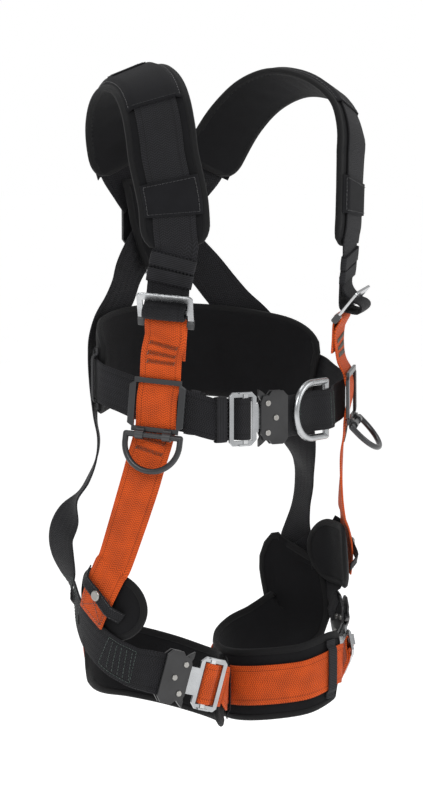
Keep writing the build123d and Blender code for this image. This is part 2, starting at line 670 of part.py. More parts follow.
def make_hip(side):
    s, hip = SIDE_SIGN[side], HIP_Z[side]
    share("hip_pads", hip_pad(s, hip))
    tab = [(9, 37, 9.4), (7, 33.5, 14), (4, 27, 19.2), (-3, 13, 16.8), (-10, -1, 18.8), (-13, -7, 14), (-15, -11, 9.4)]
    tab_route = free_path([trunk(s * (HIP_ANGLE + da), hip + dz, off) for da, dz, off in tab], 2)
    share("hip_tabs", ribbon(tab_route, 14, 1.6))
    point, normal = trunk(s * (HIP_ANGLE - 3), hip + 13, 19.4)
    cap = fillet(Cylinder(6, 2.4).edges().sort_by(Axis.Z)[-1], 1.6)
    share("snaps", *place(Plane(origin=point, z_dir=normal), cap))


def make_leg(side):
    s, hip = SIDE_SIGN[side], HIP_Z[side]
    pad = free_path(leg_band(side, 4.5), 3)
    length = path_length(pad)
    write(f"{side}_leg_pad", [ribbon(pad, rounded_ends(LEG_PAD_W, length, 24, 0.6), LEG_PAD_T)])
    web = free_path(leg_band(side, 10.6)[:-1], 3)
    write(f"{side}_leg_webbing", [ribbon(web)])
    plane = leg_plane(side)
    if side == "right":
        rows = [(trunk, 112, hip + 2), (trunk, 103, hip - 16), (trunk, 93, hip - 32)]
        onward = [(82, -252, 12.4), (68, -263, 11), (57, -269, 10.6), (48, -273, 12.2)]
    else:
        rows = [(trunk, 116, hip + 6), (trunk, 110, hip - 12), (trunk, 104, hip - 28)]
        onward = [(98, -222, 12.5)]
    lifts = (14.4, 12.2, 10.6) if side == "right" else (16.4, 14.4, 12.4)
    points = [trunk(s * angle, z, lift) for (_, angle, z), lift in zip(rows, lifts)]
    points += [thigh(side, s * angle, z, off) for angle, z, off in onward]
    points += list(reversed(receiver_strap(plane)))
    write(f"{side}_leg_strap", [ribbon(free_path(points, 2))])
    write_buckle(f"{side}_leg", plane, LEG_NECK, 2.4, 7.0)
    band_angle = -62 if side == "right" else 17
    point, normal = thigh(side, s * band_angle, -315.5 if side == "right" else -300.5, 10.6)
    share("leg_keepers", *place(Plane(origin=point, x_dir=(0, 0, 1), z_dir=normal), bridge(15, -0.9, 2.3)))


# ---- the harness --------------------------------------------------------------------------------
make_belt()
make_back()
for side_name in ("right", "left"):
    make_shoulder(side_name)
    make_side(side_name)
    make_back_strap(side_name)
    make_hip(side_name)
    make_leg(side_name)
for node_name, pieces in shared.items():
    write(node_name, pieces)
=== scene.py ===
from math import atan2, cos, degrees, exp, pi, radians, sin, sqrt

import bmesh
import bpy
from mathutils import Matrix, Vector, noise


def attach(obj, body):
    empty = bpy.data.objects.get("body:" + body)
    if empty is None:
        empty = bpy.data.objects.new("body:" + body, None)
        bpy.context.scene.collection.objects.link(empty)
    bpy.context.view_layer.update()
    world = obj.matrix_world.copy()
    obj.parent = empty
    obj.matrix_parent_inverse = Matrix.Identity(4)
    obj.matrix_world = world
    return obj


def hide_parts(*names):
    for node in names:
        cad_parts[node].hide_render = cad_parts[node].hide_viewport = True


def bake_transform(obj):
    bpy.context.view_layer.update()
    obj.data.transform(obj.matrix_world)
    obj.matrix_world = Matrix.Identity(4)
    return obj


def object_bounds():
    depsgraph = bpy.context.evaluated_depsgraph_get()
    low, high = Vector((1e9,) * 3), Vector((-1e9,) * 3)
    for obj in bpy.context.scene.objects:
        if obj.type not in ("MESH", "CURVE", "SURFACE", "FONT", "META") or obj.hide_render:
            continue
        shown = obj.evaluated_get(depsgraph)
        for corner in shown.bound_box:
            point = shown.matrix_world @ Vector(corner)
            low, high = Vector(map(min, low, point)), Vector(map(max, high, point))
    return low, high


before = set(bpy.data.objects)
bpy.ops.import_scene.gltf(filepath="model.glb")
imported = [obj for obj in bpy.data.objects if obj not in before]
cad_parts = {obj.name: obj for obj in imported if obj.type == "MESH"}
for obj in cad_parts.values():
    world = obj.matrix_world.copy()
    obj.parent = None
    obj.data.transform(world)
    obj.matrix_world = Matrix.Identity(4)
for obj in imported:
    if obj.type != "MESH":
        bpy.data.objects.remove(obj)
cad_box = [list(corner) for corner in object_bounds()]

# Routes are worked out in millimetres and turned into metres as each mesh is made.
MM = 0.001
WEB_W, WEB_T = 45.0, 2.0
SIDES = {"right": -1, "left": 1}

# ---- the guide form, as in the CAD ---------------------------------------------------------------
TRUNK = [  # height, half width, half depth, centre behind the axis
    (-300, 150, 104, 6),
    (-200, 156, 110, 6),
    (-100, 147, 102, 3),
    (0, 134, 95, 0),
    (110, 142, 104, 0),
    (210, 160, 117, 2),
    (300, 172, 112, 8),
]
THIGH_X, THIGH_Y, THIGH_R = 80.0, 2.0, 66.0
THIGH_Z, THIGH_TAPER = -330.0, 0.06
HIP_ANGLE = 82.0
HIP_Z = {"right": -209.0, "left": -182.0}
LEFT_STAND_OFF = 14.0


def eased(table, z):
    """The table's columns at height z, eased from row to row."""
    z = min(max(z, table[0][0]), table[-1][0])
    for low, high in zip(table, table[1:]):
        if z <= high[0]:
            t = (z - low[0]) / (high[0] - low[0])
            t = t * t * (3 - 2 * t)
            return [a + (b - a) * t for a, b in zip(low[1:], high[1:])]


def trunk(angle, z, off=0.0):
    """A point off the trunk, and the outward normal there."""
    a, b, c = eased(TRUNK, z)
    t = radians(angle)
    normal = Vector((sin(t) / a, -cos(t) / b, 0)).normalized()
    return Vector((a * sin(t), c - b * cos(t), z)) + normal * off, normal


def thigh(side, angle, z, off=0.0):
    """The same on a thigh."""
    r = THIGH_R + THIGH_TAPER * (z - THIGH_Z)
    t = radians(angle)
    normal = Vector((sin(t), -cos(t), 0))
    return Vector((SIDES[side] * THIGH_X, THIGH_Y, z)) + normal * (r + off), normal


def belt_height(angle):
    """The belt sits lowest in front and rises towards the back."""
    t = radians(angle)
    return -5 + 30 * (1 - cos(t)) - 3 * sin(t)


def belt_off(angle):
    """How far the belt webbing's mid plane stands off the trunk."""
    behind = min(max((abs(angle) - 78) / 16, 0.0), 1.0)
    swell = exp(-(((angle - 62) / 24) ** 2))
    return 3 + 9.4 * behind + LEFT_STAND_OFF * swell * (1 - behind)


def belt_point(angle, off):
    folded = (angle + 180) % 360 - 180
    return trunk(angle, belt_height(angle), off + belt_off(folded))


def spline(rows, per_span):
    """Catmull-Rom through rows of numbers."""
    rows = [tuple(r) for r in rows]
    ends = [tuple(2 * a - b for a, b in zip(rows[0], rows[1]))] + rows
    ends.append(tuple(2 * a - b for a, b in zip(rows[-1], rows[-2])))
    out = []
    for i in range(1, len(ends) - 2):
        p0, p1, p2, p3 = ends[i - 1 : i + 3]
        for k in range(per_span):
            t = k / per_span
            out.append(
                tuple(
                    0.5 * (2 * b + (c - a) * t + (2 * a - 5 * b + 4 * c - d) * t * t
                           + (3 * b - a - 3 * c + d) * t**3)
                    for a, b, c, d in zip(p0, p1, p2, p3)
                )
            )
    return out + [rows[-1]]


def free_path(points, per_span):
    """Stations through given (point, normal) pairs."""
    rows = [(*tuple(p), *tuple(n)) for p, n in points]
    return [(Vector(r[:3]), Vector(r[3:]).normalized()) for r in spline(rows, per_span)]


def mirrored(points, side):
    """(point, normal) pairs set for the wearer's left, moved to the side asked for."""
    s = SIDES[side]
    return [(Vector((s * x, y, z)), Vector((s * nx, ny, nz))) for (x, y, z), (nx, ny, nz) in points]


def lifted(stations, off):
    return [(p + n * off, n) for p, n in stations]


def frames(stations):
    """Each station with its tangent and its side direction: (point, normal, tangent, side)."""
    out = []
    for i, (p, n) in enumerate(stations):
        before, after = stations[max(i - 1, 0)][0], stations[min(i + 1, len(stations) - 1)][0]
        tangent = (after - before).normalized()
        side = tangent.cross(n).normalized()
        out.append((p, side.cross(tangent).normalized(), tangent, side))
    return out


def plane(origin, x_dir, z_dir):
    """A local frame as a matrix."""
    x = x_dir.normalized()
    z = (z_dir - x * z_dir.dot(x)).normalized()
    y = z.cross(x)
    return Matrix.Translation(origin) @ Matrix((x, y, z)).transposed().to_4x4()


def station_plane(stations, index):
    p, n, tangent, _ = frames(stations)[index]
    return plane(p, tangent, n)


def in_plane(where, points, flip=1):
    """Stations along an x, z side view in a local frame."""
    out = []
    for i, (x, z) in enumerate(points):
        (xa, za), (xb, zb) = points[max(i - 1, 0)], points[min(i + 1, len(points) - 1)]
        normal = Vector((-(zb - za), 0, xb - xa)).normalized() * flip
        out.append((where @ Vector((x, 0, z)), where.to_3x3() @ normal))
    return out


# ---- meshes --------------------------------------------------------------------------------------
class Shape:
    """Vertices in millimetres, faces and texture places, gathered until make() turns them into an object."""

    def __init__(self):
        self.verts, self.faces, self.uvs = [], [], []

    def rings(self, rings, uvs, closed=False):
        """Skins rings of points. closed joins the last ring to the first, and else both ends are capped."""
        first = len(self.verts)
        width = len(rings[0])
        for ring, row in zip(rings, uvs):
            self.verts += ring
            self.uvs += row
        total = len(rings)
        for i in range(total if closed else total - 1):
            a, b = first + i * width, first + (i + 1) % total * width
            for k in range(width):
                m = (k + 1) % width
                self.faces.append((a + k, a + m, b + m, b + k))
        if not closed:
            self.faces.append(tuple(range(first + width - 1, first - 1, -1)))
            end = first + (total - 1) * width
            self.faces.append(tuple(range(end, end + width)))

    def tube(self, points, radius, sides=4):
        """A thread along points."""
        rings = []
        for i, p in enumerate(points):
            along = (points[min(i + 1, len(points) - 1)] - points[max(i - 1, 0)]).normalized()
            a = along.orthogonal().normalized() if i == 0 else (a - along * a.dot(along)).normalized()
            b = along.cross(a)
            turns = [2 * pi * k / sides for k in range(sides)]
            rings.append([p + (a * cos(t) + b * sin(t)) * radius for t in turns])
        uvs = [[(k / sides, i * 0.001) for k in range(sides)] for i in range(len(points))]
        self.rings(rings, uvs)

    def make(self, name, material, body, replaces=(), slot=None, ride=True):
        """The object, riding on its body unless it is to be blended."""
        mesh = bpy.data.meshes.new(name)
        mesh.from_pydata([v * MM for v in self.verts], [], self.faces)
        layer = mesh.uv_layers.new(name="UVMap")
        for loop in mesh.loops:
            layer.data[loop.index].uv = self.uvs[loop.vertex_index]
        work = bmesh.new()
        work.from_mesh(mesh)
        bmesh.ops.recalc_face_normals(work, faces=work.faces)
        work.to_mesh(mesh)
        work.free()
        mesh.polygons.foreach_set("use_smooth", [True] * len(mesh.polygons))
        obj = bpy.data.objects.new(name, mesh)
        bpy.context.scene.collection.objects.link(obj)
        mesh.materials.append(material)
        if ride:
            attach(obj, body)
        if replaces:
            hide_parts(*replaces)
        return obj


def flat_section(width, thickness, columns=10):
    """(across, height) round a flat strap with soft round edges."""
    r = thickness / 2
    inner = width / 2 - r
    top = [(-inner + 2 * inner * k / columns, r) for k in range(columns + 1)]
    low = [(x, -r) for x, _ in reversed(top)]
    edge = [(inner + r * sin(t), r * cos(t)) for t in (0.7, pi / 2, pi - 0.7)]
    return top + edge + low + [(-x, -z) for x, z in edge]


class Strap:
    """Flat webbing along stations, with places on its faces for stitching."""

    def __init__(self, points, width=WEB_W, thickness=WEB_T, step=3.0, crown=0.5, ripple=0.25, drop=None):
        """drop is (across, depth): beyond that distance from the middle, the fabric falls by that depth."""
        dense = free_path(points, 12)
        travelled, marks = 0.0, [dense[0]]
        for a, b in zip(dense, dense[1:]):
            travelled += (b[0] - a[0]).length
            if travelled >= step:
                marks.append(b)
                travelled = 0.0
        if travelled > step * 0.3:
            marks.append(dense[-1])
        else:
            marks[-1] = dense[-1]
        self.rows = frames(marks)
        self.length = [0.0]
        for a, b in zip(self.rows, self.rows[1:]):
            self.length.append(self.length[-1] + (b[0] - a[0]).length)
        self.width, self.thickness = width, thickness
        self.crown, self.ripple, self.drop = crown, ripple, drop

    def half(self, along):
        """Half the width at a length along the strap."""
        share = along / self.length[-1]
        return (self.width(share) if callable(self.width) else self.width) / 2

    def height(self, along, across, point):
        """How far the strap's mid surface is from flat."""
        half = self.half(along)
        h = -self.crown * (across / half) ** 2
        h += self.ripple * noise.noise(point * 0.035)
        if self.drop:
            start, depth = self.drop
            t = min(max((abs(across) - start) / (half - start), 0.0), 1.0)
            h -= depth * t * t * (3 - 2 * t)
        return h

    def spot(self, along, across, lift=0.0):
        """A point on the strap. Lift is from its mid surface, outwards."""
        along = min(max(along, 0.0), self.length[-1])
        i = 0
        while i < len(self.length) - 2 and self.length[i + 1] < along:
            i += 1
        t = (along - self.length[i]) / max(self.length[i + 1] - self.length[i], 1e-6)
        p, n, _, s = [a.lerp(b, t) for a, b in zip(self.rows[i], self.rows[i + 1])]
        return p + s * across + n * (self.height(along, across, p) + lift)

    def last_above(self, z):
        """Length along the strap where it last passes height z."""
        return max(self.length[i] for i, row in enumerate(self.rows) if row[0].z >= z)

    def at_angle(self, angle):
        """Length along the strap where it is nearest to an angle round the trunk."""

        def miss(i):
            p = self.rows[i][0]
            return abs((degrees(atan2(p.x, -p.y)) - angle + 180) % 360 - 180)

        return self.length[min(range(len(self.rows)), key=miss)]

    def into(self, shape, columns=10):
        """Adds the strap's skin to a shape."""
        rings, uvs = [], []
        for (p, n, _, s), along in zip(self.rows, self.length):
            section = flat_section(2 * self.half(along), self.thickness, columns)
            rings.append([p + s * a + n * (h + self.height(along, a, p)) for a, h in section])
            uvs.append([(a * MM, along * MM) for a, _ in section])
        shape.rings(rings, uvs)

    def make(self, name, material, body, replaces=(), slot=None, ride=True):
        shape = Shape()
        self.into(shape)
        return shape.make(name, material, body, replaces, slot, ride)


def bartack(shape, strap, along, width=30.0, depth=4.4, lift=1.35, pitch=0.8, radius=0.55):
    """A dense zigzag bar of thread across a strap."""
    count = int(width / pitch)
    line = []
    for k in range(count + 1):
        swing = depth / 2 if k % 2 else -depth / 2
        line.append(strap.spot(along + swing, -width / 2 + width * k / count, lift))
    shape.tube(line, radius)


def seam(shape, strap, line, lift=1.1, stitch=3.0, gap=0.9, radius=0.35):
    """A running stitch through (along, across) corners."""
    for (a0, c0), (a1, c1) in zip(line, line[1:]):
        length = sqrt((a1 - a0) ** 2 + (c1 - c0) ** 2)
        count = max(int(length / (stitch + gap)), 1)
        for k in range(count):
            ends = [(k + 0.12) / count, (k + 0.5) / count, (k + 0.88) / count]
            spots = []
            for share, high in zip(ends, (-0.25, 0.12, -0.25)):
                at = (a0 + (a1 - a0) * share, c0 + (c1 - c0) * share)
                spots.append(strap.spot(*at, lift + high))
            shape.tube(spots, radius)


def stitch_box(shape, strap, start, end, half, lift=1.1, cross=True):
    """A sewn rectangle, with its diagonals."""
    corners = [(start, -half), (end, -half), (end, half), (start, half), (start, -half)]
    seam(shape, strap, corners, lift)
    if cross:
        seam(shape, strap, [(start, -half), (end, half)], lift)
        seam(shape, strap, [(start, half), (end, -half)], lift)


# ---- materials -----------------------------------------------------------------------------------
class Finish:
    """A node material on one Principled shader."""

    def __init__(self, name, **sockets):
        self.mat = bpy.data.materials.new(name)
        self.mat.use_nodes = True
        self.tree = self.mat.node_tree
        self.shader = self.tree.nodes["Principled BSDF"]
        for key, value in sockets.items():
            self.shader.inputs[key.replace("_", " ")].default_value = value

    def add(self, kind, inputs=(), **settings):
        """A node. An input that is a socket is linked, and any other is set."""
        node = self.tree.nodes.new("ShaderNode" + kind)
        for key, value in settings.items():
            setattr(node, key, value)
        for key, value in dict(inputs).items():
            if isinstance(value, bpy.types.NodeSocket):
                self.tree.links.new(value, node.inputs[key])
            else:
                node.inputs[key].default_value = value
        return node

    def math(self, operation, a, b=0.0, c=0.0):
        return self.add("Math", {0: a, 1: b, 2: c}, operation=operation).outputs[0]

    def place(self, uv):
        """Texture coordinates in metres: the piece's own layout, or the object's space."""
        return self.add("TexCoord").outputs["UV" if uv else "Object"]

    def noise(self, where, scale, detail=3.0, rough=0.5):
        inputs = {"Vector": where, "Scale": scale, "Detail": detail, "Roughness": rough}
        return self.add("TexNoise", inputs).outputs["Fac"]

    def ramp(self, factor, stops):
        node = self.add("ValToRGB", {"Fac": factor})
        band = node.color_ramp
        while len(band.elements) < len(stops):
            band.elements.new(0.5)
        for element, (position, colour) in zip(band.elements, stops):
            element.position = position
            element.color = (*colour, 1)
        return node.outputs["Color"]

    def spread(self, factor, low, high):
        node = self.add("MapRange", {"Value": factor, "To Min": low, "To Max": high})
        return node.outputs["Result"]

    def link(self, socket, value):
        self.tree.links.new(value, self.shader.inputs[socket])

    def bump(self, *layers):
        """Layers of (height, strength, distance in metres), one over the other."""
        last = None
        for height, strength, distance in layers:
            inputs = {"Height": height, "Strength": strength, "Distance": distance}
            if last is not None:
                inputs["Normal"] = last
            last = self.add("Bump", inputs).outputs["Normal"]
        self.link("Normal", last)


def shade(colour, factor):
    return tuple(min(c * factor, 1.0) for c in colour)


def webbing(name, colour, light=1.45, dark=0.5, sheen=0.04):
    """Flat woven webbing: fine chevron ribs, two thin lines along it, and a soft change of shade."""
    f = Finish(name, Roughness=0.72, Sheen_Weight=sheen, Sheen_Roughness=0.4, Specular_IOR_Level=0.2)
    uv = f.place(True)
    split = f.add("SeparateXYZ", {0: uv})
    u, v = split.outputs[0], split.outputs[1]
    zig = f.math("PINGPONG", u, 0.0042)
    rib = f.math("SINE", f.math("MULTIPLY", f.math("ADD", v, f.math("MULTIPLY", zig, 0.7)), 2 * pi / 0.0026))
    yarn = f.math("SINE", f.math("MULTIPLY", u, 2 * pi / 0.0021))
    weave = f.math("ADD", f.math("MULTIPLY", rib, 0.36), f.math("MULTIPLY", yarn, 0.16))
    weave = f.math("ADD", weave, 0.5)
    line = f.math("COMPARE", f.math("ABSOLUTE", u), 0.0165, 0.0006)
    soft = f.noise(f.place(False), 38.0, 4.0)
    fuzz = f.noise(uv, 1800.0, 2.0)
    tone = f.math("ADD", f.math("MULTIPLY", weave, 0.5), f.math("MULTIPLY", soft, 0.5))
    tone = f.math("ADD", tone, f.math("MULTIPLY", f.math("SUBTRACT", fuzz, 0.5), 0.2))
    tone = f.math("SUBTRACT", tone, f.math("MULTIPLY", line, 0.18))
    stops = [(0.2, shade(colour, dark)), (0.5, colour), (0.85, shade(colour, light))]
    f.link("Base Color", f.ramp(tone, stops))
    f.link("Roughness", f.spread(soft, 0.6, 0.85))
    f.bump((weave, 0.8, 0.0006), (line, -0.3, 0.0003), (fuzz, 0.15, 0.0002))
    return f.mat


def cloth_cover(name, colour, light=1.8, sheen=0.03):
    """Pad cover: a plain basket weave, with mottling and a few pale lint specks."""
    f = Finish(name, Sheen_Weight=sheen, Sheen_Roughness=0.5, Specular_IOR_Level=0.15)
    uv = f.place(True)
    split = f.add("SeparateXYZ", {0: uv})
    u = f.math("SINE", f.math("MULTIPLY", split.outputs[0], 2 * pi / 0.0014))
    v = f.math("SINE", f.math("MULTIPLY", split.outputs[1], 2 * pi / 0.0014))
    weave = f.math("ADD", f.math("MULTIPLY", f.math("MULTIPLY", u, v), 0.5), 0.5)
    soft = f.noise(f.place(False), 24.0, 5.0, 0.6)
    creases = f.noise(f.place(False), 55.0, 3.0)
    fuzz = f.noise(uv, 1500.0, 2.0)
    tone = f.math("ADD", f.math("MULTIPLY", weave, 0.35), f.math("MULTIPLY", soft, 0.65))
    tone = f.math("ADD", tone, f.math("MULTIPLY", f.math("SUBTRACT", fuzz, 0.5), 0.25))
    stops = [(0.25, shade(colour, 0.45)), (0.5, colour), (0.8, shade(colour, light))]
    f.link("Base Color", f.ramp(tone, stops))
    f.link("Roughness", f.spread(soft, 0.72, 0.95))
    f.bump((creases, 0.25, 0.0012), (weave, 0.5, 0.0004), (fuzz, 0.2, 0.0002))
    return f.mat


def ribbed(name, colour, pitch, light=2.2):
    """Elastic or binding tape, ribbed across its length."""
    f = Finish(name, Sheen_Weight=0.03, Specular_IOR_Level=0.2)
    uv = f.place(True)
    split = f.add("SeparateXYZ", {0: uv})
    rib = f.math("SINE", f.math("MULTIPLY", split.outputs[1], 2 * pi / pitch))
    knit = f.math("SINE", f.math("MULTIPLY", split.outputs[0], 2 * pi / (pitch * 0.7)))
    height = f.math("ADD", f.math("MULTIPLY", rib, 0.4), f.math("ADD", f.math("MULTIPLY", knit, 0.1), 0.5))
    soft = f.noise(f.place(False), 60.0, 3.0)
    tone = f.math("ADD", f.math("MULTIPLY", height, 0.6), f.math("MULTIPLY", soft, 0.4))
    stops = [(0.2, shade(colour, 0.4)), (0.55, colour), (0.9, shade(colour, light))]
    f.link("Base Color", f.ramp(tone, stops))
    f.link("Roughness", f.spread(soft, 0.65, 0.85))
    f.bump((height, 0.6, 0.0005))
    return f.mat


def thread(name, colour):
    """Sewing thread, with its twist."""
    f = Finish(name, Roughness=0.5, Sheen_Weight=0.3, Specular_IOR_Level=0.4)
    twist = f.noise(f.place(False), 900.0, 2.0)
    f.link("Base Color", f.ramp(twist, [(0.3, shade(colour, 0.55)), (0.7, shade(colour, 1.4))]))
    f.bump((twist, 0.3, 0.0002))
    return f.mat


def metal(name, colour, rough, edge, edge_amount=0.35, metallic=1.0, coat=0.0):
    """Steel or alloy, with fine grain, smudges and edges rubbed brighter."""
    f = Finish(name, Metallic=metallic, Coat_Weight=coat, Coat_Roughness=0.25)
    where = f.place(False)
    stretched = f.add("Mapping", {"Vector": where, "Scale": (1.0, 1.0, 9.0)}).outputs["Vector"]
    grain = f.noise(stretched, 420.0, 3.0, 0.6)
    smudge = f.noise(where, 36.0, 4.0, 0.6)
    worn = f.math("MULTIPLY", f.math("SUBTRACT", f.add("NewGeometry").outputs["Pointiness"], 0.5), 9.0)
    worn = f.math("MULTIPLY", f.math("MINIMUM", f.math("MAXIMUM", worn, 0.0), 1.0), smudge)
    base = f.ramp(smudge, [(0.3, shade(colour, 0.8)), (0.75, shade(colour, 1.15))])
    worn = f.math("MULTIPLY", worn, edge_amount * 2.0)
    mix = f.add("Mix", {"Factor": worn, "A": base, "B": (*edge, 1)}, data_type="RGBA")
    f.link("Base Color", mix.outputs["Result"])
    uneven = f.math("ADD", f.math("MULTIPLY", grain, 0.4), f.math("MULTIPLY", smudge, 0.6))
    f.link("Roughness", f.spread(uneven, rough * 0.7, rough * 1.35))
    f.bump((grain, 0.08, 0.0003), (smudge, 0.05, 0.001))
    return f.mat


black_webbing = webbing("black_webbing", (0.0075, 0.0075, 0.0088), 2.6, 0.4)
orange_webbing = webbing("orange_webbing", (0.46, 0.062, 0.007), 1.6, 0.42)
pad_cover = cloth_cover("pad_cover", (0.0048, 0.0048, 0.0056))
sleeve_cloth = cloth_cover("sleeve_cloth", (0.0062, 0.0062, 0.0074), 2.0)
binding_tape = ribbed("binding_tape", (0.0045, 0.0045, 0.005), 0.0012)
elastic_black = ribbed("elastic_black", (0.010, 0.010, 0.0115), 0.0019, 3.0)
olive_thread = thread("olive_thread", (0.030, 0.026, 0.006))
green_thread = thread("green_thread", (0.006, 0.028, 0.019))
black_thread = thread("black_thread", (0.010, 0.010, 0.012))
silver_steel = metal("silver_steel", (0.40, 0.41, 0.42), 0.26, (0.85, 0.85, 0.85))
dark_steel = metal("dark_steel", (0.016, 0.017, 0.019), 0.34, (0.12, 0.12, 0.12), 0.2, metallic=0.3, coat=0.3)
black_alloy = metal("black_alloy", (0.006, 0.006, 0.007), 0.36, (0.08, 0.08, 0.08), 0.15, 0.15, 0.2)
rivet_steel = metal("rivet_steel", (0.36, 0.35, 0.33), 0.3, (0.6, 0.6, 0.6))
spring_steel = metal("spring_steel", (0.5, 0.5, 0.5), 0.28, (0.8, 0.8, 0.8))

# ---- hardware keeps its CAD shape ----------------------------------------------------------------
BUCKLES = ("belt", "right_leg", "left_leg")
LEVERS = [f"{prefix}_lever_{end}" for prefix in BUCKLES for end in ("upper", "lower")]
HARDWARE = [
    (silver_steel, [
        "ventral_ring", "belt_tongue", "right_leg_tongue", "left_leg_tongue", "right_adjuster_frame",
        "left_adjuster_frame", "belt_slider_bar", "right_leg_slider_bar", "left_leg_slider_bar",
        "dorsal_ring",
    ]),
    (dark_steel, [
        "side_frames", "right_side_ring", "left_side_ring", "right_adjuster_lower_bar",
        "left_adjuster_lower_bar",
    ]),
    (black_alloy, ["receiver_bases", "receiver_covers", "dorsal_plate", *LEVERS]),
    (rivet_steel, ["buckle_rivets", "snaps"]),
    (spring_steel, ["lever_springs"]),
]
for coat, members in HARDWARE:
    for member in members:
        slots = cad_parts[member].data.materials
        slots.clear()
        slots.append(coat)
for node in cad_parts.values():
    node.data.polygons.foreach_set("use_smooth", [True] * len(node.data.polygons))


# ---- padded pieces -------------------------------------------------------------------------------
pads = []


class Pad:
    """A padded panel on a grid of (point, normal) places, filled by a short cloth simulation."""

    def __init__(self, name, grid, thickness, replaces, channels=(), rise=1.6, edge=1.7, fill=0.55):
        self.name, self.grid, self.thickness, self.edge, self.rise = name, grid, thickness, edge, rise
        self.rows, self.cols = len(grid), len(grid[0])
        self.channels = channels
        shape = Shape()
        self.across, self.down = self.gaps_across(), [0.0]
        middle = self.cols // 2
        for a, b in zip(grid, grid[1:]):
            self.down.append(self.down[-1] + (b[middle][0] - a[middle][0]).length)
        top, low = [], []
        for i in range(self.rows):
            for j in range(self.cols):
                p, n = grid[i][j]
                h = self.half(i, j)
                top.append(p + n * h)
                low.append(p - n * h)
        uv = [(self.across[i][j] * MM, self.down[i] * MM) for i in range(self.rows) for j in range(self.cols)]
        shape.verts, shape.uvs = top + low, uv + uv
        count = self.rows * self.cols
        for i in range(self.rows - 1):
            for j in range(self.cols - 1):
                a = i * self.cols + j
                quad = (a, a + 1, a + self.cols + 1, a + self.cols)
                shape.faces.append(quad)
                shape.faces.append(tuple(count + k for k in reversed(quad)))
        rim = self.rim()
        for (i, j), (k, m) in zip(rim, rim[1:] + rim[:1]):
            a, b = i * self.cols + j, k * self.cols + m
            shape.faces.append((a, b, count + b, count + a))
        self.obj = shape.make(name, pad_cover, "harness", replaces, "pad_fabric")
        pins = self.obj.vertex_groups.new(name="sewn")
        sewn = {i * self.cols + j for i, j in rim}
        for i in range(self.rows):
            for j in range(self.cols):
                if self.sewn(i, j):
                    sewn.add(i * self.cols + j)
        pins.add([*sewn, *(count + v for v in sewn)], 1.0, "REPLACE")
        pads.append(self)

    def gaps_across(self):
        """Each grid place's distance from its row's middle."""
        out = []
        for row in self.grid:
            at = [0.0]
            for a, b in zip(row, row[1:]):
                at.append(at[-1] + (b[0] - a[0]).length)
            out.append([x - at[-1] / 2 for x in at])
        return out

    def rim(self):
        """The grid's border, once round."""
        r, c = self.rows - 1, self.cols - 1
        return (
            [(0, j) for j in range(c)]
            + [(i, c) for i in range(r)]
            + [(r, j) for j in range(c, 0, -1)]
            + [(i, 0) for i in range(r, 0, -1)]
        )

    def sewn(self, i, j):
        """Whether a grid place lies on a channel sewn through both faces."""
        if not self.channels or i in (0, self.rows - 1):
            return False
        half = self.across[i][-1]
        off = abs(self.across[i][j])
        return any(abs(off - c) < self.pitch(i) / 2 and c < half - 6 for c in self.channels)

    def pitch(self, i):
        return 2 * self.across[i][-1] / (self.cols - 1)

    def half(self, i, j):
        """Half the thickness: thin at the bound edge, and in the channels."""
        far = min(self.across[i][-1] - abs(self.across[i][j]), self.down[i], self.down[-1] - self.down[i])
        t = min(max(far, 0.0) / 11.0, 1.0)
        h = self.edge + (self.thickness / 2 - self.edge) * sqrt(t * (2 - t))
        return h * (0.8 if self.sewn(i, j) else 0.94)

    def binding(self):
        """The folded tape round the edge."""
        rim = self.rim()
        places = [self.grid[i][j] for i, j in rim]
        count = len(places)
        outward = []
        for k in range(count):
            p, n = places[k]
            along = (places[(k + 1) % count][0] - places[k - 1][0]).normalized()
            out = along.cross(n).normalized()
            i, j = rim[k]
            inside = self.grid[min(max(i, 2), self.rows - 3)][min(max(j, 2), self.cols - 3)][0]
            outward.append(-out if out.dot(p - inside) < 0 else out)
        rings, uvs, travelled = [], [], 0.0
        e = self.edge
        for k in range(count):
            p, n = places[k]
            out = sum((outward[(k + m) % count] for m in (-2, -1, 1, 2)), outward[k]).normalized()
            section = [
                (-6.4, e + 1.9), (-3.4, e + 1.5), (-0.6, e + 0.9), (1.1, 0.0), (-0.6, -e - 0.9),
                (-3.4, -e - 1.5),
                (-6.4, -e - 1.9), (-6.4, -e - 0.9), (-0.8, -e * 0.4), (-0.8, e * 0.4), (-6.4, e + 0.9),
            ]
            rings.append([p + out * a + n * h for a, h in section])
            uvs.append([(m * 0.0011, travelled * MM) for m in range(len(section))])
            travelled += (places[(k + 1) % count][0] - p).length
        shape = Shape()
        shape.rings(rings, uvs, closed=True)
        shape.make(self.name + "_binding", binding_tape, "harness", (), "pad_fabric")


def strap_grid(points, width, cols, step=5.0):
    """A pad grid along stations, with a width that may change on the way."""
    strap = Strap(points, width, 1.0, step, 0.0, 0.0)
    grid = []
    for (p, n, _, s), along in zip(strap.rows, strap.length):
        half = strap.half(along)
        grid.append([(p + s * (half * (2 * k / (cols - 1) - 1)), n) for k in range(cols)])
    return grid


def level_grid(rows, cols, off):
    """A pad grid bent to the trunk, in level rows of (height, middle angle, half angle)."""
    steps = [-1 + 2 * k / (cols - 1) for k in range(cols)]
    return [[trunk(middle + half * t, z, off) for t in steps] for z, middle, half in rows]


def rounded_ends(width, length, radius, end_share=0.45):
    """A width function that rounds a pad's two ends."""

    def at(t):
        near = min(t, 1 - t) * length
        if near >= radius:
            return width
        return width * (end_share + (1 - end_share) * sqrt(max(0.0, 1 - (1 - near / radius) ** 2)))

    return at


def path_length(stations):
    return sum((b[0] - a[0]).length for a, b in zip(stations, stations[1:]))


